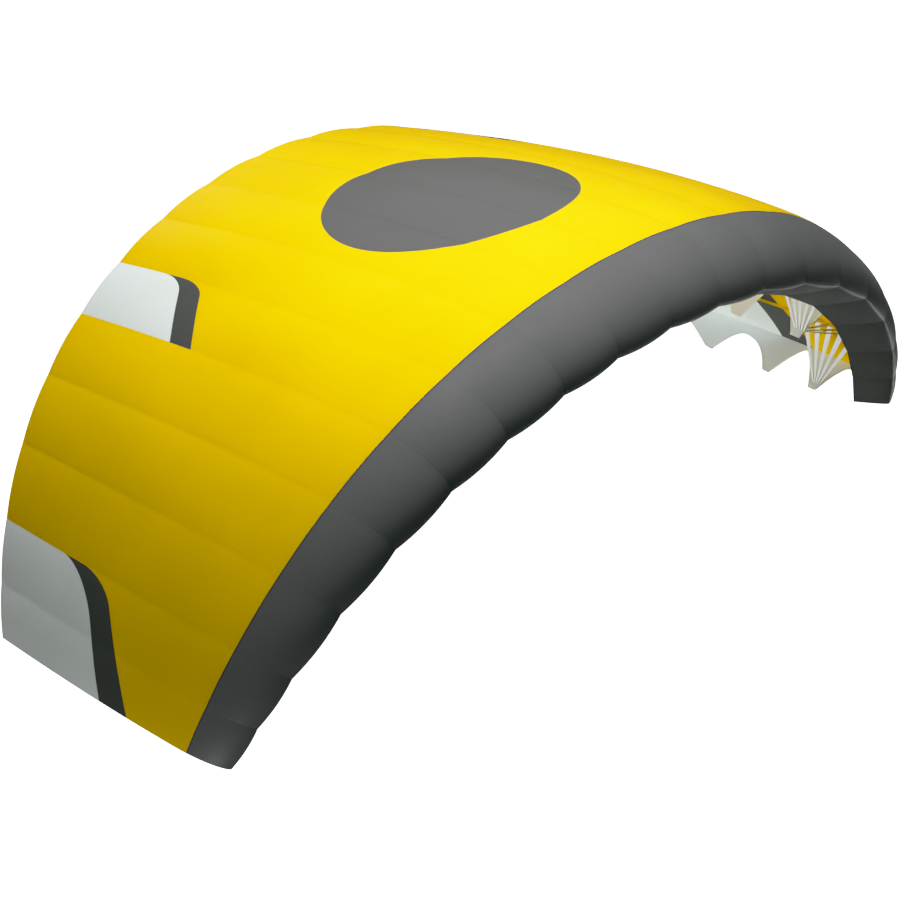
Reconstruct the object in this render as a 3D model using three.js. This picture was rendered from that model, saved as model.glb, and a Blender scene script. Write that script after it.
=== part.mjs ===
// Parawing: a single-skin arched power wing in the shape in which it flies.
// Millimetres, +X across the span, +Y towards the trailing edge, +Z up.
// The origin is midway between the front line tips of the two middle ribs.

import * as THREE from 'three';

// Span and planform

// Widths of the nine cells of one half, from the middle to the tip.
const CELL_WIDTHS = [207, 201, 204, 199, 202, 201, 193, 147, 121];
const HALF_SPAN = CELL_WIDTHS.reduce((sum, width) => sum + width, 0);
const TIP = CELL_WIDTHS.length;
const ROOT_CHORD = 1360;
const CHORD_TAPER = { square: 0.315, fourth: 0.121 };
const SWEEP = { square: 136, fourth: 39 };

// Slope of the arch against the horizontal, in degrees, over the share u of the half span.
const ARCH = { first: 50.6, third: 35.8, fifth: -17.0 };
const ARCH_STEPS = 240;

// Nose-up pitch of each rib in degrees, over the same share.
const PITCH = { root: 4.16, square: 1.1, fourth: -4.34 };

// Rib profile, in shares of the chord

const CROWN = { position: 0.173, rootHeight: 0.112, tipLoss: 0.031, tailPower: 1.81 };
const RETURN = { reach: 0.112, depth: 0.059, roundness: 0.25 };
const NOSE_SEAM = 0.13;

// Depth of each cell's billow as a share of its width: at the nose ridge, at the nose seam
// and at the trailing edge
const BILLOW = { nose: 0.038, seam: 0.027, trailing: 0.036 };

// Cloth and clearances

const CLOTH = 1.2;
const SEAM_GAP = 0.3;
const RIB_CLEARANCE = 1.6;
const FAN_CLEARANCE = 0.4;

// Steps of the solids

const STEPS = {
  cell: 4,
  panel: 9,
  inset: 3,
  stripe: 2,
  noseTop: 6,
  noseReturn: 5,
  arch: 4,
  ribNose: 4,
};

// Power of the spacing of a top panel's rows, which lie closer together near the crown
const CROWDING = 1.5;

// Tail insets, a row for each: the cells between two stations, and their outlines over the
// share a from the outer seam to the inner seam. An outline starts at `start` of the chord,
// moves aft by `slope` and turns into the inner seam with a round corner from share `turn` on.
const INSETS = [
  {
    name: 'inner',
    inner: 3,
    outer: 4,
    tail: { start: 0.732, slope: 0.09, corner: 0.045, turn: 0.75 },
    stripe: { start: 0.671, slope: 0.095, corner: 0.05, turn: 0.8 },
  },
  {
    name: 'tip',
    inner: 7,
    outer: 9,
    tail: { start: 0.518, slope: 0.145, corner: 0.1, turn: 0.6 },
    stripe: { start: 0.391, slope: 0.2, corner: 0.09, turn: 0.8 },
  },
];

// Loaded ribs and their flat line tips, a row for each tip: its edges in shares of the chord,
// and how far it hangs below the chord line: `drop` plus DROP_PER_CHORD times the chord.
const RIB_STATIONS = [1, 3, 5, 7, 9];
const DROP_PER_CHORD = 0.033;
const LINE_TIPS = [
  { front: 0.261, rear: 0.293, drop: 42 },
  { front: 0.452, rear: 0.483, drop: 55 },
  { front: 0.694, rear: 0.723, drop: 66 },
];

// Arches cut into a rib's lower edge, a row for each: where the top of the arch is, how far
// it stays below the skin, and how full its front and rear sides are.
const RIB_ARCHES = [
  { top: 0.21, below: 0.02, frontPower: 2, rearPower: 2.5 },
  { top: 0.396, below: 0.02, frontPower: 1.2, rearPower: 2 },
  { top: 0.625, below: 0.05, frontPower: 2, rearPower: 3 },
  { top: 0.965, below: 0.012, frontPower: 1.3, rearPower: 1 },
];
const RIB_FRONT = 0.02;

// Fans of strips from the front line tip of a rib to the next seam on each side
const FAN = {
  strips: 5,
  front: 0.19,
  rear: 0.4,
  patch: 22,
  tipWindowShare: 0.3,
  skinWindowShare: 0.5,
};

const COLOURS = {
  main: { color: 0xf7d50e, roughness: 0.6, metalness: 0 },
  nose: { color: 0x5d5e5d, roughness: 0.6, metalness: 0 },
  stripe: { color: 0x3f4241, roughness: 0.6, metalness: 0 },
  tail: { color: 0xdfe2e2, roughness: 0.6, metalness: 0 },
  rib: { color: 0xc4c9c5, roughness: 0.65, metalness: 0 },
  fan: { color: 0xd5d8d6, roughness: 0.6, metalness: 0 },
};

const radians = THREE.MathUtils.degToRad;

// The arch, walked outwards along the span in small steps

function archAngle(u) {
  return radians(ARCH.first * u + ARCH.third * u ** 3 + ARCH.fifth * u ** 5);
}

function archPoint(u) {
  const step = u / ARCH_STEPS;
  let x = 0;
  let z = 0;
  for (let i = 0; i < ARCH_STEPS; i += 1) {
    const angle = archAngle((i + 0.5) * step);
    x += Math.cos(angle) * step * HALF_SPAN;
    z -= Math.sin(angle) * step * HALF_SPAN;
  }
  return { x, z };
}

// One rib station, from 0 in the middle to TIP at the wing's tip, on the right half

function makeStation(index) {
  const along = CELL_WIDTHS.slice(0, index).reduce((sum, width) => sum + width, 0);
  const u = along / HALF_SPAN;
  const place = archPoint(u);
  const angle = archAngle(u);
  return {
    chord: ROOT_CHORD * (1 - CHORD_TAPER.square * u ** 2 - CHORD_TAPER.fourth * u ** 4),
    crown: CROWN.rootHeight - CROWN.tipLoss * (index / TIP) ** 2,
    pitch: radians(PITCH.root + PITCH.square * u ** 2 + PITCH.fourth * u ** 4),
    nose: new THREE.Vector3(place.x, SWEEP.square * u ** 2 + SWEEP.fourth * u ** 4, place.z),
    out: new THREE.Vector3(Math.sin(angle), 0, Math.cos(angle)),
    across: new THREE.Vector3(Math.cos(angle), 0, -Math.sin(angle)),
  };
}

const STATIONS = CELL_WIDTHS.concat([0]).map((width, index) => makeStation(index));
const AFT = new THREE.Vector3(0, 1, 0);
const FORWARD = new THREE.Vector3(0, -1, 0);

// A point of a station's plane, from its shares of the chord aft of the nose and above the chord

function planePoint(station, back, up) {
  const y = station.chord * (back * Math.cos(station.pitch) + up * Math.sin(station.pitch));
  const n = station.chord * (up * Math.cos(station.pitch) - back * Math.sin(station.pitch));
  return station.nose.clone().addScaledVector(AFT, y).addScaledVector(station.out, n);
}

function planeDirection(station, back, up) {
  const y = back * Math.cos(station.pitch) + up * Math.sin(station.pitch);
  const n = up * Math.cos(station.pitch) - back * Math.sin(station.pitch);
  return new THREE.Vector3().addScaledVector(AFT, y).addScaledVector(station.out, n).normalize();
}

// Height of the top skin over the chord line at a share of the chord

function skinHeight(station, back) {
  if (back < CROWN.position) {
    return station.crown * Math.sqrt(Math.max(0, 1 - (1 - back / CROWN.position) ** 2));
  }
  const rest = (back - CROWN.position) / (1 - CROWN.position);
  return station.crown * (1 - rest ** CROWN.tailPower);
}

// The profile as one line: q from 0 at the nose to 1 at the trailing edge on top, and from 0 to
// -1 along the return under the nose, which turns tightly at the nose ridge and then runs
// nearly straight. It gives the place and the outward direction.

function profile(station, q) {
  if (q < 0) {
    const straight = 1 - RETURN.roundness;
    return {
      back: RETURN.reach * q ** 2,
      up: RETURN.depth * q * (RETURN.roundness - straight * q),
      outBack: -RETURN.depth * (RETURN.roundness - 2 * straight * q),
      outUp: 2 * RETURN.reach * q,
    };
  }
  const up = skinHeight(station, q);
  if (q < CROWN.position) {
    const side = 1 - q / CROWN.position;
    return { back: q, up, outBack: -side / CROWN.position, outUp: up / station.crown ** 2 };
  }
  const span = 1 - CROWN.position;
  const rest = (q - CROWN.position) / span;
  const slope = -station.crown * CROWN.tailPower * rest ** (CROWN.tailPower - 1) / span;
  return { back: q, up, outBack: -slope, outUp: 1 };
}

// Depth of the billow at q, as a share of the cell's width: none at the rear edge of the return

function billowAt(q) {
  if (q < 0) {
    return BILLOW.nose * Math.cos(-q * Math.PI / 2);
  }
  if (q < NOSE_SEAM) {
    return THREE.MathUtils.lerp(BILLOW.nose, BILLOW.seam, q / NOSE_SEAM);
  }
  return THREE.MathUtils.mapLinear(q, NOSE_SEAM, 1, BILLOW.seam, BILLOW.trailing);
}

function cellAt(s) {
  return Math.min(Math.floor(s), TIP - 1);
}

// A skin point at station number s (0 to TIP, not only whole numbers) and profile place q

function skinPoint(s, q) {
  const cell = cellAt(s);
  const share = s - cell;
  const ends = [STATIONS[cell], STATIONS[cell + 1]].map((station) => {
    const at = profile(station, q);
    return {
      point: planePoint(station, at.back, at.up),
      out: planeDirection(station, at.outBack, at.outUp),
    };
  });
  const out = ends[0].out.clone().lerp(ends[1].out, share).normalize();
  const depth = billowAt(q) * CELL_WIDTHS[cell] * 4 * share * (1 - share);
  return ends[0].point.clone().lerp(ends[1].point, share).addScaledVector(out, depth);
}

// A closed sheet on a grid of points. `outside` gives the side that `lift` of the thickness
// stands on, and `keep` says which fields of the grid are cloth.

function sheet(points, outside, lift, keep = () => true) {
  const rows = points.length;
  const columns = points[0].length;
  const kept = (i, j) => i >= 0 && j >= 0 && i < rows - 1 && j < columns - 1 && keep(i, j);
  const normals = points.map((row) => row.map(() => new THREE.Vector3()));
  const fields = [];
  let facing = 0;
  for (let i = 0; i < rows - 1; i += 1) {
    for (let j = 0; j < columns - 1; j += 1) {
      if (kept(i, j)) {
        const diagonal = points[i + 1][j + 1].clone().sub(points[i][j]);
        const other = points[i + 1][j].clone().sub(points[i][j + 1]);
        const normal = other.cross(diagonal).normalize();
        facing += normal.dot(outside);
        [[i, j], [i + 1, j], [i, j + 1], [i + 1, j + 1]].forEach(([a, b]) => normals[a][b].add(normal));
        fields.push([i, j]);
      }
    }
  }
  const sign = facing < 0 ? -1 : 1;
  const positions = [];
  const numbers = new Map();
  const corner = (i, j, top) => {
    const key = `${i},${j},${top}`;
    if (!numbers.has(key)) {
      const normal = normals[i][j].clone().normalize().multiplyScalar(sign);
      const height = top ? CLOTH * lift : -CLOTH * (1 - lift);
      numbers.set(key, positions.length / 3);
      positions.push(...points[i][j].clone().addScaledVector(normal, height).toArray());
    }
    return numbers.get(key);
  };
  const index = [];
  const quad = (a, b, c, d) => index.push(...(sign > 0 ? [a, b, c, a, c, d] : [a, c, b, a, d, c]));
  const rim = (a, b) => {
    quad(corner(...a, false), corner(...b, false), corner(...b, true), corner(...a, true));
  };
  fields.forEach(([i, j]) => {
    const ring = [[i, j], [i, j + 1], [i + 1, j + 1], [i + 1, j]];
    quad(...ring.map((at) => corner(...at, false)));
    quad(...ring.map((at) => corner(...at, true)).reverse());
    const sides = [kept(i - 1, j), kept(i, j + 1), kept(i + 1, j), kept(i, j - 1)];
    sides.forEach((joined, side) => {
      if (!joined) {
        rim(ring[(side + 1) % 4], ring[side]);
      }
    });
  });
  const geometry = new THREE.BufferGeometry();
  geometry.setAttribute('position', new THREE.Float32BufferAttribute(positions, 3));
  geometry.setIndex(index);
  geometry.computeVertexNormals();
  return geometry;
}

const wing = new THREE.Group();

// The left half is the right half mirrored across the middle plane

function mirrored(points) {
  return points.map((row) => row.map((point) => new THREE.Vector3(-point.x, point.y, point.z)));
}

function addSheet(name, colour, side, points, outside, lift, keep) {
  const grid = side < 0 ? mirrored(points) : points;
  const facing = side < 0 ? new THREE.Vector3(-outside.x, outside.y, outside.z) : outside;
  const material = new THREE.MeshStandardMaterial(COLOURS[colour]);
  const mesh = new THREE.Mesh(sheet(grid, facing, lift, keep), material);
  mesh.name = name;
  wing.add(mesh);
}

// Span places of a sheet between two stations, drawn in at both ends by half a seam gap

function spanPlaces(inner, outer) {
  const places = [];
  for (let i = 0; i <= (outer - inner) * STEPS.cell; i += 1) {
    places.push(inner + i / STEPS.cell);
  }
  places[0] += SEAM_GAP / 2 / CELL_WIDTHS[inner];
  places[places.length - 1] -= SEAM_GAP / 2 / CELL_WIDTHS[outer - 1];
  return places;
}

function chordAt(s) {
  const cell = cellAt(s);
  return THREE.MathUtils.lerp(STATIONS[cell].chord, STATIONS[cell + 1].chord, s - cell);
}

// An inset's outline at station number s, in shares of the chord

function outlineAt(inset, outline, s) {
  const a = (inset.outer - s) / (inset.outer - inset.inner);
  const turned = Math.max(0, (a - outline.turn) / (1 - outline.turn));
  return outline.start + outline.slope * a + outline.corner * (1 - Math.sqrt(1 - turned ** 2));
}

// Half a seam gap across an outline, as a share of the chord measured along it

function outlineGap(outline, s) {
  const reach = 0.002;
  const rise = (outline(s + reach) - outline(s - reach)) * chordAt(s);
  const run = 2 * reach * CELL_WIDTHS[cellAt(s)];
  return SEAM_GAP / 2 * Math.hypot(1, rise / run) / chordAt(s);
}

// Top skin between two outlines, from the one nearer the nose to the one nearer the tail

function skinBetween(inner, outer, fore, aft, rows, power = 1) {
  return spanPlaces(inner, outer).map((s) => {
    const start = fore(s) + outlineGap(fore, s);
    const end = aft(s) - (aft(s) < 1 ? outlineGap(aft, s) : 0);
    const line = [];
    for (let i = 0; i <= rows; i += 1) {
      line.push(skinPoint(s, THREE.MathUtils.lerp(start, end, (i / rows) ** power)));
    }
    return line;
  });
}

const noseSeam = () => NOSE_SEAM;
const trailingEdge = () => 1;

function addSkinPanels(side, word) {
  CELL_WIDTHS.forEach((width, cell) => {
    const inset = INSETS.find((row) => cell >= row.inner && cell < row.outer);
    const aft = inset ? (s) => outlineAt(inset, inset.stripe, clampTo(inset, s)) : trailingEdge;
    const points = skinBetween(cell, cell + 1, noseSeam, aft, STEPS.panel, CROWDING);
    addSheet(`panel_${word}_${cell + 1}`, 'main', side, points, STATIONS[cell].out, 0);
  });
}

function clampTo(inset, s) {
  return THREE.MathUtils.clamp(s, inset.inner, inset.outer);
}

function addInsets(side, word) {
  INSETS.forEach((inset) => {
    const stripe = (s) => outlineAt(inset, inset.stripe, clampTo(inset, s));
    const tail = (s) => outlineAt(inset, inset.tail, clampTo(inset, s));
    const { inner, outer, name } = inset;
    const { out } = STATIONS[outer];
    const band = skinBetween(inner, outer, stripe, tail, STEPS.stripe);
    addSheet(`stripe_${word}_${name}`, 'stripe', side, band, out, 0);
    const end = skinBetween(inner, outer, tail, trailingEdge, STEPS.inset);
    addSheet(`tail_${word}_${name}`, 'tail', side, end, out, 0);
  });
}

// Profile places of the nose, from its seam on the top skin round to the return's rear edge

function nosePlaces() {
  const places = [];
  const seamTurn = Math.acos(1 - NOSE_SEAM / CROWN.position);
  for (let i = 0; i < STEPS.noseTop; i += 1) {
    const turn = seamTurn * (1 - i / STEPS.noseTop);
    places.push(CROWN.position * (1 - Math.cos(turn)));
  }
  for (let i = 0; i <= STEPS.noseReturn; i += 1) {
    places.push(-i / STEPS.noseReturn);
  }
  places[0] -= SEAM_GAP / 2 / ROOT_CHORD;
  return places;
}

function nosePoints(inner, outer) {
  return spanPlaces(inner, outer).map((s) => nosePlaces().map((q) => skinPoint(s, q)));
}

// The middle nose panel runs over both halves

function addMiddleNose() {
  const right = nosePoints(0, 1);
  right[0] = nosePlaces().map((q) => skinPoint(0, q));
  const left = mirrored(right).reverse();
  addSheet('nose_middle', 'nose', 1, left.slice(0, -1).concat(right), FORWARD, 0);
}

function addNose(side, word) {
  RIB_STATIONS.slice(0, -1).forEach((station, i) => {
    const points = nosePoints(station, RIB_STATIONS[i + 1]);
    addSheet(`nose_${word}_${i + 1}`, 'nose', side, points, FORWARD, 0);
  });
}

// How far a line tip hangs below the chord line, as a share of the chord

function tipDrop(station, tip) {
  return -(tip.drop / station.chord + DROP_PER_CHORD);
}

// A point just inside the cloth at profile place q

function insideCloth(station, q) {
  const at = profile(station, q);
  const out = planeDirection(station, at.outBack, at.outUp);
  return planePoint(station, at.back, at.up).addScaledVector(out, -CLOTH - RIB_CLEARANCE);
}

// Lower edge of a rib behind the return as pairs of shares of the chord

function ribEdge(station) {
  const hang = (tip) => tipDrop(station, tip);
  const edge = [];
  let from = [RETURN.reach, -RETURN.depth + (CLOTH + RIB_CLEARANCE) / station.chord];
  RIB_ARCHES.forEach((arch, i) => {
    const tip = LINE_TIPS[i];
    const top = skinHeight(station, arch.top) - arch.below;
    for (let k = 0; k <= STEPS.arch; k += 1) {
      const v = 1 - k / STEPS.arch;
      edge.push([arch.top - (arch.top - from[0]) * v, top - (top - from[1]) * v ** arch.frontPower]);
    }
    if (tip) {
      for (let k = 1; k <= STEPS.arch; k += 1) {
        const v = k / STEPS.arch;
        edge.push([arch.top + (tip.front - arch.top) * v, top - (top - hang(tip)) * v ** arch.rearPower]);
      }
      from = [tip.rear, hang(tip)];
    }
  });
  return edge;
}

// The part of a rib inside the nose, from its front to the rear edge of the return

function ribNose(station) {
  const places = [];
  for (let i = 0; i < STEPS.ribNose; i += 1) {
    const back = THREE.MathUtils.lerp(RIB_FRONT, RETURN.reach, i / STEPS.ribNose);
    const under = -Math.sqrt(back / RETURN.reach);
    places.push([insideCloth(station, under), insideCloth(station, back)]);
  }
  return places;
}

// A rib is flat, and stands in its station's plane

function addRibs(side, word) {
  RIB_STATIONS.forEach((number, i) => {
    const station = STATIONS[number];
    const behind = ribEdge(station).map(([back, low]) => {
      return [planePoint(station, back, low), insideCloth(station, back)];
    });
    const points = ribNose(station).concat(behind);
    addSheet(`rib_${word}_${i + 1}`, 'rib', side, points, station.across, 0.5);
  });
}

// Places across a fan from 0 to 1: each strip and each window between two strips

function fanPlaces(windowShare) {
  const strip = (1 - windowShare) / FAN.strips;
  const window = windowShare / (FAN.strips - 1);
  const places = [0];
  for (let i = 0; i < 2 * FAN.strips - 1; i += 1) {
    places.push(places[i] + (i % 2 ? window : strip));
  }
  return places;
}

// One side of a fan: rows from the end of the line tip to the seam on the next station

function fanSide(number, towards) {
  const station = STATIONS[number];
  const next = STATIONS[number + towards];
  const tip = LINE_TIPS[0];
  const low = tipDrop(station, tip);
  const beside = towards * (CLOTH + FAN_CLEARANCE);
  const place = (back, up) => planePoint(station, back, up).addScaledVector(station.across, beside);
  const under = (FAN_CLEARANCE + CLOTH / 2) / station.chord;
  const patch = low + FAN.patch / station.chord;
  const tipBack = (share) => THREE.MathUtils.lerp(tip.rear, tip.front, share);
  const tipPlaces = fanPlaces(FAN.tipWindowShare);
  const seamEnds = fanPlaces(FAN.skinWindowShare).map((share) => {
    const back = THREE.MathUtils.lerp(FAN.rear, FAN.front, share);
    const sunk = skinHeight(next, back) - 2 * CLOTH / next.chord;
    return planePoint(next, back, sunk).addScaledVector(next.across, -towards * (CLOTH + FAN_CLEARANCE));
  });
  return [
    tipPlaces.map((share) => place(tipBack(share), low - under)),
    tipPlaces.map((share) => place(tipBack(share), patch)),
    seamEnds,
  ];
}

function addFans(side, word) {
  RIB_STATIONS.forEach((number, i) => {
    const inner = fanSide(number, -1);
    const outer = number < TIP ? fanSide(number, 1) : [];
    const points = inner.reverse().concat(outer);
    const stripRows = [0, points.length > 3 ? points.length - 2 : 0];
    const keep = (row, column) => !stripRows.includes(row) || column % 2 === 0;
    addSheet(`fan_${word}_${i + 1}`, 'fan', side, points, STATIONS[number].out, 0.5, keep);
  });
}

addMiddleNose();
[[-1, 'left'], [1, 'right']].forEach(([side, word]) => {
  addSkinPanels(side, word);
  addInsets(side, word);
  addNose(side, word);
  addRibs(side, word);
  addFans(side, word);
});

// Move the origin to the front line tips of the two middle ribs, on the middle plane

const firstRib = STATIONS[RIB_STATIONS[0]];
const firstTip = LINE_TIPS[0];
const tipMiddle = (firstTip.front + firstTip.rear) / 2;
const lineTip = planePoint(firstRib, tipMiddle, tipDrop(firstRib, firstTip));
wing.position.set(0, -lineTip.y, -lineTip.z);

export default wing;
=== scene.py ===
import math

import bpy
import numpy as np
from mathutils import Matrix, Vector


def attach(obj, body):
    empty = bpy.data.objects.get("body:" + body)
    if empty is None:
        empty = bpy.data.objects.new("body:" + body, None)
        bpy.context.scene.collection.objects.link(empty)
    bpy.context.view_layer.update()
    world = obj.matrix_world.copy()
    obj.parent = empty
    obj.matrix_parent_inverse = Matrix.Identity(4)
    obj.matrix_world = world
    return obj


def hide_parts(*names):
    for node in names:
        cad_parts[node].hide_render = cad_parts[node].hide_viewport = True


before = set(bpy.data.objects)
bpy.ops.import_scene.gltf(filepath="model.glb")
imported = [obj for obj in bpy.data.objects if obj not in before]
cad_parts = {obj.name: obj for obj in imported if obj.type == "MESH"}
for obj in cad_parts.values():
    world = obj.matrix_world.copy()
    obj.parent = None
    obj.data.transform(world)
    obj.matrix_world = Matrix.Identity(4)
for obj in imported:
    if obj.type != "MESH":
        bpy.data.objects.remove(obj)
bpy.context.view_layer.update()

scene = bpy.context.scene

# Sizes of the wing, the same as in the part's source, in metres and in shares of the chord

CELL_WIDTHS = [0.207, 0.201, 0.204, 0.199, 0.202, 0.201, 0.193, 0.147, 0.121]
TIP = len(CELL_WIDTHS)
HALF_SPAN = sum(CELL_WIDTHS)
ROOT_CHORD = 1.36
CROWN_PLACE = 0.173
TAIL_POWER = 1.81
RETURN_REACH = 0.112
RETURN_DEPTH = 0.059
RETURN_ROUNDNESS = 0.25
NOSE_SEAM = 0.13
BILLOW_NOSE = 0.038
BILLOW_SEAM = 0.027
BILLOW_TRAILING = 0.036

# Factors, each for a power of the share of the half span: the arch's angle and the pitch in
# degrees, the chord in shares of the root chord and the nose's sweep in metres. For the crown's
# height, in shares of the chord, they are for powers of the seam's number over the tip's.

ARCH = {1: 50.6, 3: 35.8, 5: -17.0}
CHORD = {0: 1, 2: -0.315, 4: -0.121}
PITCH = {0: 4.16, 2: 1.1, 4: -4.34}
SWEEP = {2: 0.136, 4: 0.039}
CROWN = {0: 0.112, 2: -0.031}

# The insets: between which seams they lie, and the outlines of the white tail panel and of the
# stripe before it

INSETS = [
    dict(
        name="inner", inner=3, outer=4,
        tail=dict(start=0.732, slope=0.09, corner=0.045, turn=0.75),
        stripe=dict(start=0.671, slope=0.095, corner=0.05, turn=0.8),
    ),
    dict(
        name="tip", inner=7, outer=9,
        tail=dict(start=0.518, slope=0.145, corner=0.1, turn=0.6),
        stripe=dict(start=0.391, slope=0.2, corner=0.09, turn=0.8),
    ),
]

# The ribs' seams, and their line tips and the arches between them in shares of the chord, but
# for drop, which is in metres, and the powers front and rear that shape an arch's two sides

RIB_STATIONS = [1, 3, 5, 7, 9]
DROP_PER_CHORD = 0.033
LINE_TIPS = [
    dict(front=0.261, rear=0.293, drop=0.042),
    dict(front=0.452, rear=0.483, drop=0.055),
    dict(front=0.694, rear=0.723, drop=0.066),
]
RIB_ARCHES = [
    dict(top=0.21, below=0.02, front=2, rear=2.5),
    dict(top=0.396, below=0.02, front=1.2, rear=2),
    dict(top=0.625, below=0.05, front=2, rear=3),
    dict(top=0.965, below=0.012, front=1.3, rear=1),
]
RIB_FRONT = 0.02

# The fans: how many strips run from the front line tip to the skin, where they meet it in
# shares of the chord, the height of the patch at the tip in metres, and the share of either end
# that is gaps. Then, in metres, how far they stand off the rib and the next seam, how far they
# tuck in at both ends, and how thick they are.

FAN = dict(strips=5, front=0.19, rear=0.4, patch=0.022, tip_window=0.3, skin_window=0.5)
FAN_RIB_OFFSET = 0.0016
FAN_SEAM_OFFSET = 0.0006
FAN_TUCK = 0.001
FAN_THICKNESS = 0.0006

# Hems and seam allowances, in metres. But the gap of a hem beside a seam is in shares of the
# cell, the start of the return's hem in shares of the return, and the end of an allowance in
# shares of the chord.

HEM_WIDTH = 0.012
HEM_LIFT = -0.0007
HEM_THICKNESS = 0.001
HEM_SEAM_GAP = 0.004
RETURN_HEM_START = 0.94
ALLOWANCE_GAP = 0.0005
ALLOWANCE_DEPTH = 0.009
ALLOWANCE_THICKNESS = 0.0008
ALLOWANCE_END = 0.995

# The disc: its centre along the span in metres and along the chord in shares, the slant of
# its axis in shares for each metre of span, its half lengths, and how many cells of each side
# it reaches into

DISC = dict(middle=-0.014, place=0.521, slant=-0.067, half_span=0.337, half_chord=0.209)
DISC_CELLS = 2

# How finely the pieces are divided, and how much closer the lines lie at the crown and at the
# round corner of an inset

ARCH_STEPS = 240
CELL_STEPS = 20
PANEL_POINTS = 72
NOSE_POINTS = 22
INSET_POINTS = dict(stripe=10, tail=30)
RIB_HEIGHT_POINTS = 15
RIB_NOSE_POINTS = 10
RIB_EDGE_STEPS = 22
FAN_POINTS = 14
HEM_POINTS = 3
ALLOWANCE_POINTS = 90
CROWN_CLOSENESS = 1.25
CORNER_CLOSENESS = 1.7


# The wing's surface

def series(factors, u):
    return sum(factor * u ** power for power, factor in factors.items())


def arch_point(u):
    middles = (np.arange(ARCH_STEPS) + 0.5) / ARCH_STEPS * u
    angles = np.radians(series(ARCH, middles))
    step = u * HALF_SPAN / ARCH_STEPS
    return np.cos(angles).sum() * step, -np.sin(angles).sum() * step


class Station:
    """The wing's section at a seam."""

    def __init__(self, index):
        u = sum(CELL_WIDTHS[:index]) / HALF_SPAN
        x, z = arch_point(u)
        angle = math.radians(series(ARCH, u))
        self.distance = u * HALF_SPAN
        self.chord = ROOT_CHORD * series(CHORD, u)
        self.crown = series(CROWN, index / TIP)
        self.pitch = math.radians(series(PITCH, u))
        self.nose = np.array([x, series(SWEEP, u), z])
        self.out = np.array([math.sin(angle), 0, math.cos(angle)])
        self.across = np.array([math.cos(angle), 0, -math.sin(angle)])

    def pitched(self, back, up):
        y = back * math.cos(self.pitch) + up * math.sin(self.pitch)
        n = up * math.cos(self.pitch) - back * math.sin(self.pitch)
        return y, n

    def point(self, back, up):
        back, up = np.broadcast_arrays(np.asarray(back, float), np.asarray(up, float))
        y, n = self.pitched(back, up)
        y, n = self.chord * y, self.chord * n
        return self.nose + np.multiply.outer(y, [0, 1, 0]) + np.multiply.outer(n, self.out)

    def direction(self, back, up):
        y, n = self.pitched(back, up)
        d = np.multiply.outer(y, [0, 1, 0]) + np.multiply.outer(n, self.out)
        return d / np.linalg.norm(d, axis=-1, keepdims=True)

    def height(self, back):
        back = np.asarray(back, float)
        front = np.sqrt(np.clip(1 - (1 - back / CROWN_PLACE) ** 2, 0, None))
        rest = np.clip((back - CROWN_PLACE) / (1 - CROWN_PLACE), 0, None)
        return self.crown * np.where(back < CROWN_PLACE, front, 1 - rest ** TAIL_POWER)


STATIONS = [Station(i) for i in range(TIP + 1)]


def return_height(along):
    """Height of the return, the rolled nose's underside, from 0 at the nose to 1 at its end."""
    straight = 1 - RETURN_ROUNDNESS
    return -RETURN_DEPTH * along * (RETURN_ROUNDNESS + straight * along)


def profile(station, q):
    """Points and outward directions of a section at places q.

    From 0 to 1 they lie on the top, in shares of the chord. From 0 to -1 they lie on the return.
    """
    q = np.asarray(q, float)
    along = np.clip(-q, 0, 1)
    straight = 1 - RETURN_ROUNDNESS
    up = station.height(np.clip(q, 0, 1))
    side = 1 - q / CROWN_PLACE
    rest = np.clip((q - CROWN_PLACE) / (1 - CROWN_PLACE), 0, None)
    slope = station.crown * TAIL_POWER * rest ** (TAIL_POWER - 1) / (1 - CROWN_PLACE)
    under, front = q < 0, q < CROWN_PLACE
    under_back = -RETURN_DEPTH * (RETURN_ROUNDNESS + 2 * straight * along)
    out_back = np.where(under, under_back, np.where(front, -side / CROWN_PLACE, slope))
    top_up = np.where(front, up / station.crown ** 2, 1.0)
    out_up = np.where(under, -2 * RETURN_REACH * along, top_up)
    back = np.where(under, RETURN_REACH * along ** 2, q)
    return back, np.where(under, return_height(along), up), out_back, out_up


def surface(station, q):
    back, up, out_back, out_up = profile(station, q)
    return station.point(back, up), station.direction(out_back, out_up)


def billow_at(q):
    """Depth of the billow at profile places q, as a share of the cell's width."""
    q = np.asarray(q, float)
    top = np.interp(q, [0, NOSE_SEAM, 1], [BILLOW_NOSE, BILLOW_SEAM, BILLOW_TRAILING])
    return np.where(q < 0, BILLOW_NOSE * np.cos(np.clip(-q, 0, 1) * np.pi / 2), top)


def cell_at(s):
    return min(int(math.floor(s)), TIP - 1)


def skin_line(s, q, lift=0.0):
    """Points of the skin at station number s and profile places q."""
    cell = cell_at(s)
    share = s - cell
    inner, inner_out = surface(STATIONS[cell], q)
    outer, outer_out = surface(STATIONS[cell + 1], q)
    out = inner_out * (1 - share) + outer_out * share
    out /= np.linalg.norm(out, axis=-1, keepdims=True)
    depth = billow_at(q) * CELL_WIDTHS[cell] * 4 * share * (1 - share) + lift
    return inner * (1 - share) + outer * share + out * np.asarray(depth)[..., None]


def chord_at(s):
    cell = cell_at(s)
    inner, outer = STATIONS[cell].chord, STATIONS[cell + 1].chord
    return inner + (outer - inner) * (s - cell)


def distance_at(s):
    cell = cell_at(s)
    return STATIONS[cell].distance + CELL_WIDTHS[cell] * (s - cell)


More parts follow.
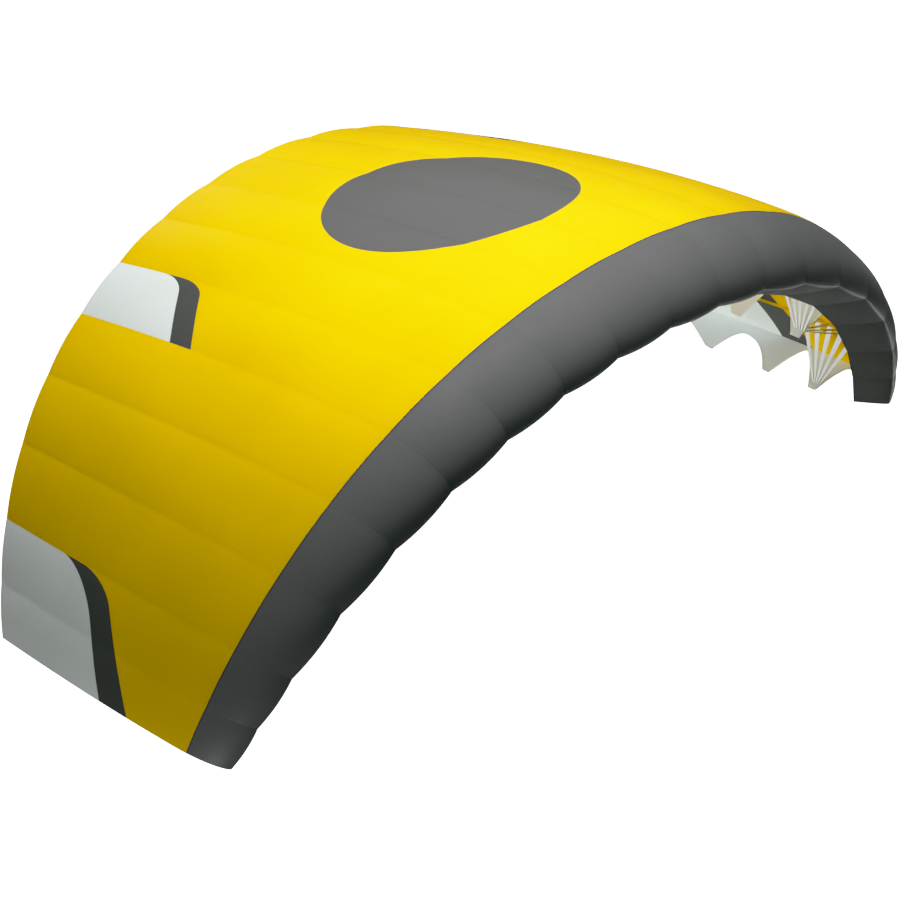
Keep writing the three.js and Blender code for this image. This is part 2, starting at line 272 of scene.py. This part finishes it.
def outline_at(inset, outline, s):
    """Share of the chord at which an inset's outline lies, with its round corner."""
    s = min(max(s, inset["inner"]), inset["outer"])
    a = (inset["outer"] - s) / (inset["outer"] - inset["inner"])
    turned = max(0.0, (a - outline["turn"]) / (1 - outline["turn"]))
    corner = outline["corner"] * (1 - math.sqrt(1 - turned ** 2))
    return outline["start"] + outline["slope"] * a + corner


def tip_drop(station, tip):
    return -(tip["drop"] / station.chord + DROP_PER_CHORD)


# The origin: on the middle plane, level with the first rib's front line tip

FIRST = STATIONS[RIB_STATIONS[0]]
FIRST_TIP = FIRST.point(
    (LINE_TIPS[0]["front"] + LINE_TIPS[0]["rear"]) / 2, tip_drop(FIRST, LINE_TIPS[0])
)
ORIGIN = np.array([0, FIRST_TIP[1], FIRST_TIP[2]])


# Meshes: grids of points with their cloth places as UV maps. FAR stands for no seam nearby.

FAR = 0.2


def mirror(points, side):
    """Points moved to the origin and put on the left, side -1, or the right, side 1."""
    points = points - ORIGIN
    return points * np.array([side, 1, 1])


def mesh_object(name, points, faces, layers, smooth=True):
    mesh = bpy.data.meshes.new(name)
    mesh.from_pydata(points.tolist(), [], faces)
    loops = np.empty(len(mesh.loops), np.int64)
    mesh.loops.foreach_get("vertex_index", loops)
    for key, values in layers.items():
        layer = mesh.uv_layers.new(name=key)
        layer.data.foreach_set("uv", np.asarray(values, np.float32)[loops].ravel())
    mesh.polygons.foreach_set("use_smooth", [smooth] * len(mesh.polygons))
    mesh.update()
    obj = bpy.data.objects.new(name, mesh)
    scene.collection.objects.link(obj)
    return obj


def grid_faces(rows, columns, flip):
    faces = []
    for i in range(rows - 1):
        for j in range(columns - 1):
            a = i * columns + j
            quad = (a, a + 1, a + columns + 1, a + columns)
            faces.append(quad[::-1] if flip else quad)
    return faces


def thick_grid(grid, thickness, keep=None):
    """Points and faces of a closed sheet round a grid, without the quads that keep leaves out."""
    rows, columns = grid.shape[:2]
    normals = np.zeros_like(grid)
    cross = np.cross(grid[1:, :-1] - grid[:-1, 1:], grid[1:, 1:] - grid[:-1, :-1])
    cross /= np.maximum(np.linalg.norm(cross, axis=-1, keepdims=True), 1e-12)
    for di in (0, 1):
        for dj in (0, 1):
            normals[di:rows - 1 + di, dj:columns - 1 + dj] += cross
    normals /= np.maximum(np.linalg.norm(normals, axis=-1, keepdims=True), 1e-12)
    count = rows * columns
    top = (grid + normals * thickness / 2).reshape(-1, 3)
    bottom = (grid - normals * thickness / 2).reshape(-1, 3)
    quads = [(i, j) for i in range(rows - 1) for j in range(columns - 1)]
    kept = {place for place in quads if keep is None or keep(*place)}
    faces = []
    for i, j in sorted(kept):
        a = i * columns + j
        quad = (a, a + columns, a + columns + 1, a + 1)
        faces.append(quad)
        faces.append(tuple(v + count for v in reversed(quad)))
        sides = [((i, j - 1), quad[0], quad[1]), ((i + 1, j), quad[1], quad[2]),
                 ((i, j + 1), quad[2], quad[3]), ((i - 1, j), quad[3], quad[0])]
        for other, p, r in sides:
            if other not in kept:
                faces.append((r, p, p + count, r + count))
    return np.concatenate([top, bottom]), faces


def arc_lengths(grid, axis):
    steps = np.linalg.norm(np.diff(grid, axis=axis), axis=-1)
    zero = np.zeros_like(np.take(steps, [0], axis=axis))
    return np.cumsum(np.concatenate([zero, steps], axis=axis), axis=axis)


def grid_area(grid):
    corner, opposite = grid[:-1, :-1], grid[1:, 1:]
    beside, below = grid[1:, :-1], grid[:-1, 1:]
    a = np.linalg.norm(np.cross(beside - corner, below - corner), axis=-1)
    b = np.linalg.norm(np.cross(beside - opposite, below - opposite), axis=-1)
    return float((a.sum() + b.sum()) / 2)


def cut_size(grid):
    """The most that a grid's lines measure across the span and along the chord."""
    return float(arc_lengths(grid, 0)[-1].max()), float(arc_lengths(grid, 1)[:, -1].max())


def pairs(first, second):
    """A UV map's values from two grids, or from a column and a grid."""
    return np.stack(np.broadcast_arrays(first, second), -1).reshape(-1, 2)


def cloth_layers(grid, s_values, q_grid, inner, outer):
    """UV maps of a piece: its cloth in metres, its place on the wing, how far its seams are."""
    across = np.array([distance_at(s) for s in s_values])[:, None]
    along = arc_lengths(grid, 1)
    seams = np.array([STATIONS[k].distance for k in range(inner, outer + 1)])
    to_side = np.abs(across - seams[None]).min(1)[:, None]
    to_end = np.minimum(along, along[:, -1:] - along)
    return {
        "cloth": pairs(across, along),
        "wing": pairs(across, q_grid),
        "seam": pairs(to_side, to_end),
    }


# Pieces that stand for the solids of the part

def sheet_piece(name, material, points, faces, layers, node, flat, area, smooth=True):
    obj = mesh_object(name, points, faces, layers, smooth)
    obj.data.materials.append(material)
    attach(obj, "root")
    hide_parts(node)
    width, length = flat
    area = min(area, width * length)


def skin_piece(name, material, side, s_values, q_rows, node, inner, outer):
    """A piece of skin, with a row of profile places for each station number."""
    q_grid = np.array(q_rows)
    grid = np.array([skin_line(s, q) for s, q in zip(s_values, q_grid)])
    layers = cloth_layers(grid, s_values, q_grid, inner, outer)
    width, length = cut_size(grid)
    if np.ptp(q_grid[:, [0, -1]], axis=0).min() == 0:
        # One end is straight, so the width is measured straight across, not along a slanted end
        row = np.sort(q_grid[0])
        straight = np.interp(row, row[[0, -1]], [q_grid.min(), q_grid.max()])
        width, _ = cut_size(np.array([skin_line(s, straight) for s in s_values]))
    points = mirror(grid.reshape(-1, 3), side)
    faces = grid_faces(*grid.shape[:2], flip=side < 0)
    sheet_piece(
        name, material, points, faces, layers, node, (width, length), grid_area(grid),
    )


# Materials

class Graph:
    """A short way to write a material's nodes."""

    def __init__(self, name):
        self.material = bpy.data.materials.new(name)
        self.material.use_nodes = True
        self.tree = self.material.node_tree
        self.shader = self.tree.nodes["Principled BSDF"]

    def put(self, socket, value):
        if isinstance(value, bpy.types.NodeSocket):
            self.tree.links.new(value, socket)
        elif value is not None:
            socket.default_value = value

    def node(self, kind, inputs=(), **settings):
        node = self.tree.nodes.new(kind)
        for key, value in settings.items():
            setattr(node, key, value)
        for key, value in dict(inputs).items():
            self.put(node.inputs[key], value)
        return node

    def math(self, operation, a, b=None, c=None):
        inputs = {0: a, 1: b, 2: c}
        return self.node("ShaderNodeMath", inputs, operation=operation).outputs[0]

    def product(self, a, b):
        return self.math("MULTIPLY", a, b)

    def add_scaled(self, total, value, scale):
        return self.math("MULTIPLY_ADD", value, scale, total)

    def ramp(self, value, low, high, start, end):
        inputs = {
            "Value": value, "From Min": low, "From Max": high, "To Min": start, "To Max": end,
        }
        return self.node("ShaderNodeMapRange", inputs, clamp=True).outputs[0]

    def noise(self, vector, scale, detail):
        inputs = {"Vector": vector, "Scale": scale, "Detail": detail}
        return self.node("ShaderNodeTexNoise", inputs).outputs[0]

    def mix(self, share, a, b, **settings):
        node = self.node("ShaderNodeMix", data_type="RGBA", **settings)
        self.put(node.inputs[0], share)
        self.put(node.inputs[6], a)
        self.put(node.inputs[7], b)
        return node.outputs[2]

    def uv(self, name):
        uv = self.node("ShaderNodeUVMap", uv_map=name).outputs[0]
        parts = self.node("ShaderNodeSeparateXYZ", {0: uv})
        return uv, parts.outputs[0], parts.outputs[1]


# The cloth: pitches, widths and heights in metres, noise scales in cells for each metre

RIPSTOP = dict(pitch=0.005, half_width=0.0004, height=0.00004, shade=0.95)
RIPSTOP_START = 20.0
WEAVE = dict(pitch=0.0007, height=0.000004)
TONE_NOISE = dict(scale=3.1, detail=3.0)
TONE_SHADES = (0.955, 1.03)
CREASE_NOISE = dict(scale=17.0, detail=2.0)
CREASE_HEIGHT = 0.0004
NOISE_LOW, NOISE_HIGH = 0.3, 0.7
FOLD = dict(width=0.009, soft=0.0012, height=0.0001)
PUCKER_NOISE = dict(scale=34.0, detail=1.0)
PUCKER = dict(reach=0.045, height=0.0005)
STITCH_ROWS = (0.0025, 0.0065)
STITCH = dict(pitch=0.0035, share=0.36, inner=0.0002, outer=0.0006, height=0.00012, shade=0.93)
SEAM_LINE = dict(width=0.0008, shade=0.96)
EDGE_LINE = dict(width=0.0028, soft=0.0004)
DISC_EDGE = 0.9985
ROUGHNESS_SPREAD = (-0.03, 0.05)
SHEEN = 0.06
SHEEN_ROUGHNESS = 0.4


def opaque(colour):
    return tuple(colour) + (1.0,)


def ripstop(graph, place):
    """1 on the thick threads, falling to 0 beside them. A whole number of pitches is added to
    the place, so that it is never negative.
    """
    pitch = RIPSTOP["pitch"]
    away = graph.math("PINGPONG", graph.math("ADD", place, RIPSTOP_START), pitch / 2)
    return graph.ramp(away, 0, RIPSTOP["half_width"], 1, 0)


def in_disc(graph, place):
    """1 inside the disc and 0 outside it. The span's sign is that of the object's X."""
    _, span, share = graph.uv("wing")
    x_place = graph.node("ShaderNodeSeparateXYZ", {"Vector": place}).outputs[0]
    span = graph.product(span, graph.math("SIGN", x_place))
    x = graph.math("DIVIDE", graph.math("SUBTRACT", span, DISC["middle"]), DISC["half_span"])
    centre = graph.math("MULTIPLY_ADD", span, DISC["slant"], DISC["place"])
    y = graph.math("DIVIDE", graph.math("SUBTRACT", share, centre), DISC["half_chord"])
    radius = graph.math("SQRT", graph.math("MULTIPLY_ADD", x, x, graph.product(y, y)))
    return graph.ramp(radius, DISC_EDGE, 1.0, 1, 0)


def sewn(graph, height, shade, uv, u, v, side, end):
    """Height and shade with the fold, the puckers and the stitches beside a piece's seams."""
    near = graph.math("MINIMUM", side, end)
    fold = graph.ramp(near, FOLD["width"] - FOLD["soft"], FOLD["width"], 1, 0)
    height = graph.add_scaled(height, fold, FOLD["height"])
    pucker = graph.noise(uv, **PUCKER_NOISE)
    close = graph.ramp(side, 0.0, PUCKER["reach"], 1, 0)
    height = graph.add_scaled(height, graph.product(pucker, close), PUCKER["height"])
    pitch, share = STITCH["pitch"], STITCH["share"]
    for across, along in ((side, v), (end, u)):
        dash = graph.math(
            "LESS_THAN", graph.math("PINGPONG", along, pitch / 2), pitch * share
        )
        for row in STITCH_ROWS:
            off = graph.math("ABSOLUTE", graph.math("SUBTRACT", across, row))
            thread = graph.ramp(off, STITCH["inner"], STITCH["outer"], 1, 0)
            stitch = graph.product(thread, dash)
            height = graph.add_scaled(height, stitch, STITCH["height"])
            shade = graph.product(shade, graph.ramp(stitch, 0, 1, 1, STITCH["shade"]))
    line = graph.ramp(near, 0.0, SEAM_LINE["width"], SEAM_LINE["shade"], 1)
    return height, graph.product(shade, line)


def cloth(name, colour, roughness=0.6, specular=0.12, seams=True, disc=None, edge=None):
    """A ripstop cloth, with the colours of the disc and of the line along its ends if given."""
    graph = Graph(name)
    uv, u, v = graph.uv("cloth")
    place = graph.node("ShaderNodeTexCoord").outputs["Object"]
    grid = graph.math("MAXIMUM", ripstop(graph, u), ripstop(graph, v))
    turns = 2 * math.pi / WEAVE["pitch"]
    weave = graph.product(
        graph.math("SINE", graph.product(u, turns)), graph.math("SINE", graph.product(v, turns))
    )
    tone = graph.noise(place, **TONE_NOISE)
    creases = graph.noise(place, **CREASE_NOISE)
    height = graph.product(grid, RIPSTOP["height"])
    height = graph.add_scaled(height, weave, WEAVE["height"])
    height = graph.add_scaled(height, creases, CREASE_HEIGHT)
    shade = graph.ramp(tone, NOISE_LOW, NOISE_HIGH, *TONE_SHADES)
    shade = graph.product(shade, graph.ramp(grid, 0, 1, 1, RIPSTOP["shade"]))
    if seams:
        _, side, end = graph.uv("seam")
        height, shade = sewn(graph, height, shade, uv, u, v, side, end)
    base = opaque(colour)
    if edge:
        width = EDGE_LINE["width"]
        line = graph.ramp(end, width, width + EDGE_LINE["soft"], 1, 0)
        base = graph.mix(line, base, opaque(edge))
    if disc:
        base = graph.mix(in_disc(graph, place), base, opaque(disc))
    tint = graph.node("ShaderNodeCombineColor", {0: shade, 1: shade, 2: shade}).outputs[0]
    bump = graph.node("ShaderNodeBump", {"Strength": 1.0, "Distance": 1.0, "Height": height})
    low, high = (roughness + spread for spread in ROUGHNESS_SPREAD)
    shown = {
        "Base Color": graph.mix(1.0, base, tint, blend_type="MULTIPLY"),
        "Normal": bump.outputs[0],
        "Roughness": graph.ramp(creases, NOISE_LOW, NOISE_HIGH, low, high),
        "Sheen Weight": SHEEN,
        "Sheen Roughness": SHEEN_ROUGHNESS,
        "Sheen Tint": opaque(c / max(colour) for c in colour),
        "Specular IOR Level": specular,
    }
    for socket, value in shown.items():
        graph.put(graph.shader.inputs[socket], value)
    return graph.material


YELLOW = (0.86, 0.57, 0.014)
DISC_GREY = (0.138, 0.138, 0.138)
NOSE_GREY = (0.151, 0.152, 0.151)
EDGE_BLUE = (0.055, 0.055, 0.12)
STRIPE_GREY = (0.1, 0.1, 0.098)
TAIL_GREY = (0.78, 0.83, 0.8)
RIB_GREY = (0.79, 0.85, 0.87)
FAN_GREY = (0.81, 0.86, 0.89)
NOSE_FINISH = dict(roughness=0.45, specular=0.5)
STRIPE_FINISH = dict(roughness=0.55, specular=0.4)

MAIN = cloth("ripstop_yellow", YELLOW)
MAIN_DISC = cloth("ripstop_yellow_disc", YELLOW, disc=DISC_GREY)
NOSE = cloth("ripstop_dark_grey", NOSE_GREY, edge=EDGE_BLUE, **NOSE_FINISH)
STRIPE = cloth("ripstop_near_black", STRIPE_GREY, **STRIPE_FINISH)
TAIL = cloth("ripstop_light_grey", TAIL_GREY)
RIB = cloth("rib_cloth", RIB_GREY)
FAN_CLOTH = cloth("fan_cloth", FAN_GREY)
HEM_MAIN = cloth("hem_yellow", YELLOW, seams=False)
HEM_NOSE = cloth("hem_dark_grey", NOSE_GREY, seams=False, **NOSE_FINISH)
HEM_TAIL = cloth("hem_light_grey", TAIL_GREY, seams=False)


# Skin and nose, a piece for each cell, and the insets

WORDS = ((-1, "left"), (1, "right"))


def inset_of(cell):
    return next((row for row in INSETS if row["inner"] <= cell < row["outer"]), None)


def cell_places(cell):
    return list(cell + np.linspace(0, 1, CELL_STEPS + 1))


def inset_places(inset):
    """Station numbers that lie closer together at the round corner on the inner seam."""
    inner, outer = inset["inner"], inset["outer"]
    cells = outer - inner
    share = np.linspace(0, 1, CELL_STEPS * cells + 1) ** CORNER_CLOSENESS
    places = np.concatenate([inner + share * cells, np.arange(inner, outer + 1)])
    return [float(s) for s in sorted(set(np.round(places, 6)))]


def panel_q(inset, s):
    """Profile places of a main panel, closer together near the crown."""
    end = outline_at(inset, inset["stripe"], s) if inset else 1.0
    share = np.linspace(0, 1, PANEL_POINTS) ** CROWN_CLOSENESS
    return NOSE_SEAM + (end - NOSE_SEAM) * share


def inset_q(inset, key, s):
    """Profile places of a stripe, which ends at the tail panel, or of the tail panel."""
    end = outline_at(inset, inset["tail"], s) if key == "stripe" else 1.0
    return np.linspace(outline_at(inset, inset[key], s), end, INSET_POINTS[key])


def nose_q():
    """Profile places from the nose seam round the nose to the end of the return."""
    seam_turn = math.acos(1 - NOSE_SEAM / CROWN_PLACE)
    share = np.linspace(0, 1, NOSE_POINTS)
    top = CROWN_PLACE * (1 - np.cos(seam_turn * (1 - share)))
    return np.concatenate([top, -share[1:]])


NOSE_Q = nose_q()
for side, word in WORDS:
    for cell in range(TIP):
        inset = inset_of(cell)
        places = cell_places(cell)
        if inset:
            places = [s for s in inset_places(inset) if cell <= s <= cell + 1]
        skin_piece(
            f"skin_{word}_{cell + 1}", MAIN_DISC if cell < DISC_CELLS else MAIN, side,
            places, [panel_q(inset, s) for s in places], f"panel_{word}_{cell + 1}",
            cell, cell + 1,
        )
        node = f"nose_{word}_{(cell + 1) // 2}" if cell else "nose_middle"
        places = cell_places(cell)
        skin_piece(
            f"rolled_nose_{word}_{cell + 1}", NOSE, side,
            places, [NOSE_Q] * len(places), node,
            cell, cell + 1,
        )
    for inset in INSETS:
        inner, outer = inset["inner"], inset["outer"]
        places = inset_places(inset)
        for key, material in (("stripe", STRIPE), ("tail", TAIL)):
            skin_piece(
                f"{key}_piece_{word}_{inset['name']}", material, side,
                places, [inset_q(inset, key, s) for s in places], f"{key}_{word}_{inset['name']}",
                inner, outer,
            )


# Ribs

def rib_edge(station):
    """The lower edge of a rib behind the return: arches, with line tips between them."""
    edge = []
    start = (RETURN_REACH, -RETURN_DEPTH)
    shares = [k / RIB_EDGE_STEPS for k in range(RIB_EDGE_STEPS + 1)]
    for i, arch in enumerate(RIB_ARCHES):
        middle = arch["top"]
        top = float(station.height(middle)) - arch["below"]
        for share in shares:
            v = 1 - share
            up = top - (top - start[1]) * v ** arch["front"]
            edge.append((middle - (middle - start[0]) * v, up))
        if i < len(LINE_TIPS):
            tip = LINE_TIPS[i]
            hang = tip_drop(station, tip)
            for v in shares[1:]:
                up = top - (top - hang) * v ** arch["rear"]
                edge.append((middle + (tip["front"] - middle) * v, up))
            start = (tip["rear"], hang)
    return np.array(edge)


def rib_low(station):
    """The whole lower edge of a rib, along the return first."""
    back = np.linspace(RIB_FRONT, RETURN_REACH, RIB_NOSE_POINTS)[:-1]
    nose = np.stack([back, return_height(np.sqrt(back / RETURN_REACH))], -1)
    return np.concatenate([nose, rib_edge(station)])


for side, word in WORDS:
    for i, number in enumerate(RIB_STATIONS):
        station = STATIONS[number]
        low = rib_low(station)
        high = station.height(low[:, 0])[:, None]
        share = np.linspace(0, 1, RIB_HEIGHT_POINTS)
        back = np.repeat(low[:, :1], RIB_HEIGHT_POINTS, 1)
        up = low[:, 1:] * (1 - share) + high * share
        grid = station.point(back, up)
        length, height = back * station.chord, up * station.chord
        to_edge = np.minimum((up - low[:, 1:]) * station.chord, (high - up) * station.chord)
        sheet_piece(
            f"rib_piece_{word}_{i + 1}", RIB, mirror(grid.reshape(-1, 3), side),
            grid_faces(*grid.shape[:2], flip=side < 0),
            {"cloth": pairs(length, height), "seam": pairs(to_edge, FAR)}, f"rib_{word}_{i + 1}",
            (float(np.ptp(length)), float(np.ptp(height))), grid_area(grid),
        )


# Fans of load strips

def fan_places(window_share):
    """The edges of the strips, from 0 to 1, with windows between them."""
    strip = (1 - window_share) / FAN["strips"]
    window = window_share / (FAN["strips"] - 1)
    places = [0.0]
    for i in range(2 * FAN["strips"] - 1):
        places.append(places[-1] + (window if i % 2 else strip))
    return np.array(places)


def fan_side(number, towards):
    """The side of a fan that runs from its rib to the skin at the next seam."""
    station, after = STATIONS[number], STATIONS[number + towards]
    tip = LINE_TIPS[0]
    low = tip_drop(station, tip)
    beside = station.across * towards * FAN_RIB_OFFSET
    back = tip["rear"] + (tip["front"] - tip["rear"]) * fan_places(FAN["tip_window"])
    bottom = station.point(back, low - FAN_TUCK / station.chord) + beside
    patch = station.point(back, low + FAN["patch"] / station.chord) + beside
    ends = FAN["rear"] + (FAN["front"] - FAN["rear"]) * fan_places(FAN["skin_window"])
    seam = after.point(ends, after.height(ends) - FAN_TUCK / after.chord)
    seam = seam - after.across * towards * FAN_SEAM_OFFSET
    share = np.linspace(0, 1, FAN_POINTS)[:, None, None]
    return np.concatenate([bottom[None], patch[None] * (1 - share) + seam[None] * share])


for side, word in WORDS:
    for i, number in enumerate(RIB_STATIONS):
        inner = fan_side(number, -1)[::-1]
        first = len(inner) - 2
        if number == TIP:
            grid, patch_rows = inner, {first}
        else:
            grid = np.concatenate([inner, fan_side(number, 1)])
            patch_rows = {first, first + 1, first + 2}
        points, faces = thick_grid(
            grid, FAN_THICKNESS, lambda row, column: column % 2 == 0 or row in patch_rows
        )
        along = arc_lengths(grid, 0)
        far = np.full_like(along, FAR)
        layers = {"cloth": pairs(arc_lengths(grid, 1), along), "seam": pairs(far, far)}
        layers = {key: np.concatenate([values, values]) for key, values in layers.items()}
        strip_area = sum(grid_area(grid[:, j:j + 2]) for j in range(0, grid.shape[1] - 1, 2))
        strip_width = float(np.linalg.norm(grid[0, 1::2] - grid[0, 0::2], axis=-1).sum())
        sheet_piece(
            f"fan_piece_{word}_{i + 1}", FAN_CLOTH, mirror(points, side), faces, layers,
            f"fan_{word}_{i + 1}", (strip_width, float(along[-1].max())), strip_area,
            smooth=False,
        )


# Hems and the seam allowances inside the skin

def trim(name, material, grid, side, thickness):
    points, faces = thick_grid(grid, thickness)
    uv = pairs(arc_lengths(grid, 1), arc_lengths(grid, 0))
    layers = {"cloth": np.concatenate([uv, uv])}
    obj = mesh_object(name, mirror(points, side), faces, layers, smooth=False)
    obj.data.materials.append(material)
    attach(obj, "root")


def allowance(station, q):
    top, out = surface(station, q)
    return np.stack([top - out * ALLOWANCE_GAP, top - out * ALLOWANCE_DEPTH], 1)


def trailing_hem(s):
    width = HEM_WIDTH / chord_at(s)
    return skin_line(s, np.linspace(1 - width, 1.0, HEM_POINTS), HEM_LIFT)


def return_hem(s):
    return skin_line(s, -np.linspace(RETURN_HEM_START, 1.0, HEM_POINTS), HEM_LIFT)


PANEL_SEAM_Q = np.linspace(NOSE_SEAM, ALLOWANCE_END, ALLOWANCE_POINTS)
for side, word in WORDS:
    for cell in range(TIP):
        places = cell + np.linspace(HEM_SEAM_GAP, 1 - HEM_SEAM_GAP, CELL_STEPS + 1)
        slot, material = ("tail", HEM_TAIL) if inset_of(cell) else ("main", HEM_MAIN)
        hem = np.array([trailing_hem(s) for s in places])
        trim(f"trailing_hem_{word}_{cell + 1}", material, hem, side, HEM_THICKNESS)
        hem = np.array([return_hem(s) for s in places])
        trim(f"return_hem_{word}_{cell + 1}", HEM_NOSE, hem, side, HEM_THICKNESS)
    for number in range(0 if side > 0 else 1, TIP):
        if number in RIB_STATIONS:
            continue
        for name, slot, material, q in (
            ("allowance", "main", HEM_MAIN, PANEL_SEAM_Q),
            ("nose_allowance", "nose", HEM_NOSE, NOSE_Q),
        ):
            grid = allowance(STATIONS[number], q)
            trim(f"{name}_{word}_{number}", material, grid, side, ALLOWANCE_THICKNESS)


# Camera, at the photograph's place: angles in radians, distances in metres, and the focal
# length in widths of the sensor

AZIMUTH = -0.9386
ELEVATION = 0.5339
ROLL = 0.1250
DISTANCE = 16.2688
SHIFT_X, SHIFT_Y = 0.5491, 0.3046
FOCAL = 7.303
SENSOR = 36
VIEW_END = 200

level = np.array([math.cos(AZIMUTH), math.sin(AZIMUTH), 0])
back = np.array([
    math.sin(AZIMUTH) * math.cos(ELEVATION), -math.cos(AZIMUTH) * math.cos(ELEVATION),
    math.sin(ELEVATION),
])
upright = np.cross(back, level)
right = level * math.cos(ROLL) + upright * math.sin(ROLL)
up = -level * math.sin(ROLL) + upright * math.cos(ROLL)
place = back * DISTANCE - right * SHIFT_X - up * SHIFT_Y - ORIGIN

camera_data = bpy.data.cameras.new("camera")
camera_data.sensor_width = SENSOR
camera_data.lens = FOCAL * SENSOR
camera_data.clip_end = VIEW_END
camera = bpy.data.objects.new("camera", camera_data)
camera.matrix_world = Matrix(np.vstack([np.stack([right, up, back, place], 1), [0, 0, 0, 1]]))
scene.collection.objects.link(camera)
scene.camera = camera


# Floor and backdrop

ROOM_HALF = 60.0
FLOOR_Z = -16.0
STAGE_GREY = (0.9, 0.9, 0.9)
STAGE_ROUGHNESS = 0.9
FLOOR_GLOW = 1.7
BACKDROP_GLOW = 1.9


def stage_mesh(name, points, faces, glow):
    """A pale stage piece that only the camera sees, so that it throws no light on the wing."""
    mesh = bpy.data.meshes.new(name)
    mesh.from_pydata(points, [], faces)
    obj = bpy.data.objects.new(name, mesh)
    scene.collection.objects.link(obj)
    pale = Graph(name)
    for socket, value in {
        "Base Color": opaque(STAGE_GREY),
        "Roughness": STAGE_ROUGHNESS,
        "Specular IOR Level": 0.0,
        "Emission Color": opaque(STAGE_GREY),
        "Emission Strength": glow,
    }.items():
        pale.put(pale.shader.inputs[socket], value)
    mesh.materials.append(pale.material)
    obj.visible_diffuse = False
    obj.visible_glossy = False
    obj.visible_shadow = False


plan = [(x * ROOM_HALF, y * ROOM_HALF) for x, y in ((-1, -1), (1, -1), (1, 1), (-1, 1))]
low, high = ([(x, y, z) for x, y in plan] for z in (FLOOR_Z, ROOM_HALF))
walls = [(k, (k + 1) % 4, (k + 1) % 4 + 4, k + 4) for k in range(4)]
stage_mesh("floor", low, [(0, 1, 2, 3)], FLOOR_GLOW)
stage_mesh("backdrop", low + high, walls + [(4, 5, 6, 7)], BACKDROP_GLOW)


# Lights, in watts and metres: the key above, two spots inside the wing on its ribs, three weak
# fills, and one for the gloss of the far nose

LIGHTS = [
    dict(name="key", kind="POINT", at=(-0.22, 0.28, 2.66), power=352, size=0.5, glossy=False),
    dict(
        name="inside_right", kind="SPOT", at=(-0.4, 2.2, -0.36), aim=(1.18, 0.05, -0.52),
        power=225, size=0.35, cone=0.8, blend=0.5,
    ),
    dict(
        name="inside_left", kind="SPOT", at=(0.4, 2.2, -0.36), aim=(-1.18, 0.05, -0.52),
        power=120, size=0.35, cone=0.8, blend=0.5,
    ),
    dict(name="under", kind="AREA", at=(0, 2.3, -2.5), aim=(0, 0.2, 0), power=12, size=1.5),
    dict(
        name="left", kind="AREA", at=(-2.8, -0.4, -1.9), aim=(-1.35, 0.1, -0.65),
        power=18, size=1.0,
    ),
    dict(
        name="right", kind="AREA", at=(2.8, -0.4, -1.9), aim=(1.35, 0.1, -0.65),
        power=4, size=1.0,
    ),
    dict(
        name="front", kind="SPOT", at=(2.45, -1.6, -2.35), aim=(1.12, -0.27, -0.35),
        power=330, size=1.2, cone=0.5, blend=1, diffuse=False,
    ),
]
WORLD_LIGHT = 0.16

for row in LIGHTS:
    light = bpy.data.lights.new(row["name"], row["kind"])
    light.energy = row["power"]
    if row["kind"] == "AREA":
        light.shape = "DISK"
        light.size = row["size"]
    else:
        light.shadow_soft_size = row["size"]
    if row["kind"] == "SPOT":
        light.spot_size = row["cone"]
        light.spot_blend = row["blend"]
    obj = bpy.data.objects.new(row["name"], light)
    obj.location = row["at"]
    if "aim" in row:
        towards = Vector(row["aim"]) - Vector(row["at"])
        obj.rotation_euler = towards.to_track_quat("-Z", "Y").to_euler()
    obj.visible_camera = False
    obj.visible_glossy = row.get("glossy", True)
    obj.visible_diffuse = row.get("diffuse", True)
    scene.collection.objects.link(obj)

world = bpy.data.worlds.new("studio")
world.use_nodes = True
background = world.node_tree.nodes["Background"]
background.inputs["Color"].default_value = (1, 1, 1, 1)
background.inputs["Strength"].default_value = WORLD_LIGHT
scene.world = world


# Tone of the picture: the dark end starts at a black level for each of red, green and blue, and
# above 0.7 the light rolls off up to the white level

BLACK_LEVEL = (0.0225, 0.018, 0.0205)
BLACK_MEAN = 0.02
WHITE_LEVEL = 1.5
SHOULDER = [(0.7, 0.7), (0.85, 0.82), (1.0, 0.9), (1.2, 0.96)]
COMBINED = 3

scene.view_settings.view_transform = "Standard"
scene.view_settings.look = "None"
scene.view_settings.use_curve_mapping = True
tone = scene.view_settings.curve_mapping
tone.black_level = BLACK_LEVEL
tone.white_level = (WHITE_LEVEL,) * 3
points = tone.curves[COMBINED].points
for lit, shown in SHOULDER:
    share = (lit - BLACK_MEAN) / (WHITE_LEVEL - BLACK_MEAN)
    points.new(share, (shown - BLACK_MEAN) / (1 - BLACK_MEAN))
for point in points[:2]:
    point.handle_type = "VECTOR"
tone.update()
